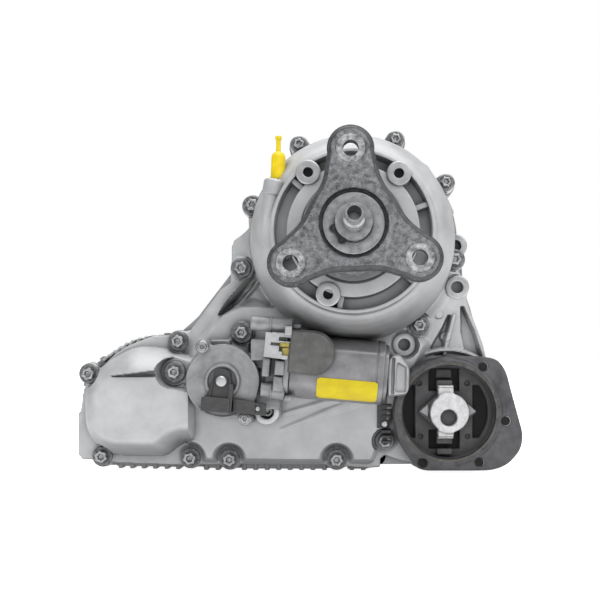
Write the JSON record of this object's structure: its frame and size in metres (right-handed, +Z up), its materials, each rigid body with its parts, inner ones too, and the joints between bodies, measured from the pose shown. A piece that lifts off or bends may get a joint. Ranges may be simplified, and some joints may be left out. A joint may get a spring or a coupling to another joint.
{
  "type": "transfer case",
  "caption": "Vehicle transfer case: domed housing with clutch and gear train, flanged rear output, splined front output, motor-driven worm actuator and rubber mount.",
  "frame": {"origin": "main shaft axis at the face towards the gearbox", "axes": "+Y towards the gearbox along the main shaft, +Z up, +X towards the rubber mount"},
  "size_m": [0.331, 0.23, 0.2566],
  "materials": {
    "cast_case": "satin die-cast aluminium",
    "cast_cover": "satin die-cast aluminium",
    "zinc_fastener": "zinc-plated steel",
    "plug_steel": "plain steel",
    "flange_steel": "forged steel, oiled",
    "ground_steel": "ground steel",
    "gear_steel": "hardened and ground steel",
    "race_steel": "polished bearing steel",
    "spring_steel": "blued spring steel",
    "bronze": "sintered bronze",
    "friction_lining": "paper friction lining",
    "black_rubber": "matt rubber",
    "black_plastic": "moulded plastic",
    "yellow_plastic": "moulded plastic",
    "motor_steel": "plated steel can",
    "magnet_ferrite": "sintered ferrite",
    "copper_winding": "lacquered copper winding",
    "label_film": "blank printed film",
    "plug_cover_grey": "moulded plastic",
    "charcoal_bracket": "black coated steel",
    "core_aluminium": "sand-cast aluminium"
  },
  "bodies": {
    "casing": {"front_case": "cast_case", "rear_case": "cast_case", "case_bolts": "zinc_fastener", "actuator_bolts": "zinc_fastener", "mount_bolts": "zinc_fastener", "case_plugs": "plug_steel", "joint_dowels": "plug_steel", "actuator_housing": "cast_cover", "actuator_cover": "cast_cover", "cover_screws": "zinc_fastener", "motor_can": "motor_steel", "motor_magnets": "magnet_ferrite", "motor_label": "label_film", "motor_plug_cover": "plug_cover_grey", "motor_contact_plate": "zinc_fastener", "position_sensor": "black_plastic", "sensor_screw": "zinc_fastener", "vent_pipe": "plug_steel", "main_bearing_outer_races": "race_steel", "rear_seal": "black_rubber", "front_seals": "black_rubber", "bearing_balls": "race_steel", "thrust_bearings": "race_steel", "ramp_balls": "race_steel", "idler_bearing_outer_races": "race_steel", "output_bearing_outer_races": "race_steel", "mount_bracket": "charcoal_bracket", "mount_sleeve": "plug_steel", "mount_rubber": "black_rubber", "mount_core": "core_aluminium", "mount_damper": "black_rubber"},
    "main_shaft_line": {"main_shaft": "ground_steel", "output_flange": "flange_steel", "flange_washer": "ground_steel", "flange_circlip": "spring_steel", "clutch_hub": "gear_steel", "friction_plates": "friction_lining", "drive_gear_bush": "bronze", "main_bearing_inner_races": "race_steel"},
    "clutch_drum": {"clutch_basket": "gear_steel", "drive_gear": "gear_steel", "steel_plates": "gear_steel"},
    "idler_line": {"idler_gear": "gear_steel", "idler_shaft": "ground_steel", "idler_bearing_inner_races": "race_steel"},
    "front_output_line": {"front_output_gear": "gear_steel", "front_output_shaft": "ground_steel", "output_bearing_inner_races": "race_steel"},
    "control_line": {"control_shaft": "ground_steel", "control_cam": "gear_steel", "worm_wheel": "bronze"},
    "worm_line": {"worm_shaft": "ground_steel", "motor_rotor": "copper_winding"},
    "front_lever_arm": {"front_lever": "gear_steel", "front_lever_roller": "race_steel"},
    "rear_lever_arm": {"rear_lever": "gear_steel", "rear_lever_roller": "race_steel"},
    "pressure_ring": {"pressure_plate": "gear_steel"},
    "breather_cap": {"vent_cap": "yellow_plastic"}
  },
  "joints": [
    {"name": "main_shaft_spin", "type": "hinge", "parent": "casing", "child": "main_shaft_line", "pos_m": [0, 0, 0], "axis": [0, -1, 0], "continuous": true},
    {"name": "clutch_drum_spin", "type": "hinge", "parent": "casing", "child": "clutch_drum", "pos_m": [0, 0, 0], "axis": [0, -1, 0], "continuous": true},
    {"name": "idler_spin", "type": "hinge", "parent": "casing", "child": "idler_line", "pos_m": [-0.05048, -0.04, -0.09349], "axis": [0, -1, 0], "continuous": true},
    {"name": "front_output_spin", "type": "hinge", "parent": "casing", "child": "front_output_line", "pos_m": [-0.1535, -0.04, -0.1195], "axis": [0, -1, 0], "continuous": true},
    {"name": "control_turn", "type": "hinge", "parent": "casing", "child": "control_line", "pos_m": [-0.092, -0.1, -0.1035], "axis": [0, -1, 0], "range_deg": [0, 150]},
    {"name": "worm_spin", "type": "hinge", "parent": "casing", "child": "worm_line", "pos_m": [-0.09072, -0.118, -0.08855], "axis": [0.9963, 0, -0.0854], "range_deg": [0, 3450]},
    {"name": "front_lever_swing", "type": "hinge", "parent": "casing", "child": "front_lever_arm", "pos_m": [0, 0, 0], "axis": [0, -1, 0], "range_deg": [-2.43, 0]},
    {"name": "rear_lever_swing", "type": "hinge", "parent": "casing", "child": "rear_lever_arm", "pos_m": [0, 0, 0], "axis": [0, -1, 0], "range_deg": [0, 2.43]},
    {"name": "pressure_slide", "type": "slide", "parent": "casing", "child": "pressure_ring", "axis": [0, 1, 0], "range_m": [0, 0.001]},
    {"name": "breather_cap_pull", "type": "slide", "parent": "casing", "child": "breather_cap", "axis": [0, 0, 1], "range_m": [0, 0.015]}
  ],
  "couplings": [
    {"joint": "idler_spin", "follows": "clutch_drum_spin", "ratio": -0.57407},
    {"joint": "front_output_spin", "follows": "clutch_drum_spin", "ratio": 1},
    {"joint": "worm_spin", "follows": "control_turn", "ratio": 23},
    {"joint": "front_lever_swing", "follows": "control_turn", "ratio": -0.0162},
    {"joint": "rear_lever_swing", "follows": "control_turn", "ratio": 0.0162}
  ]
}
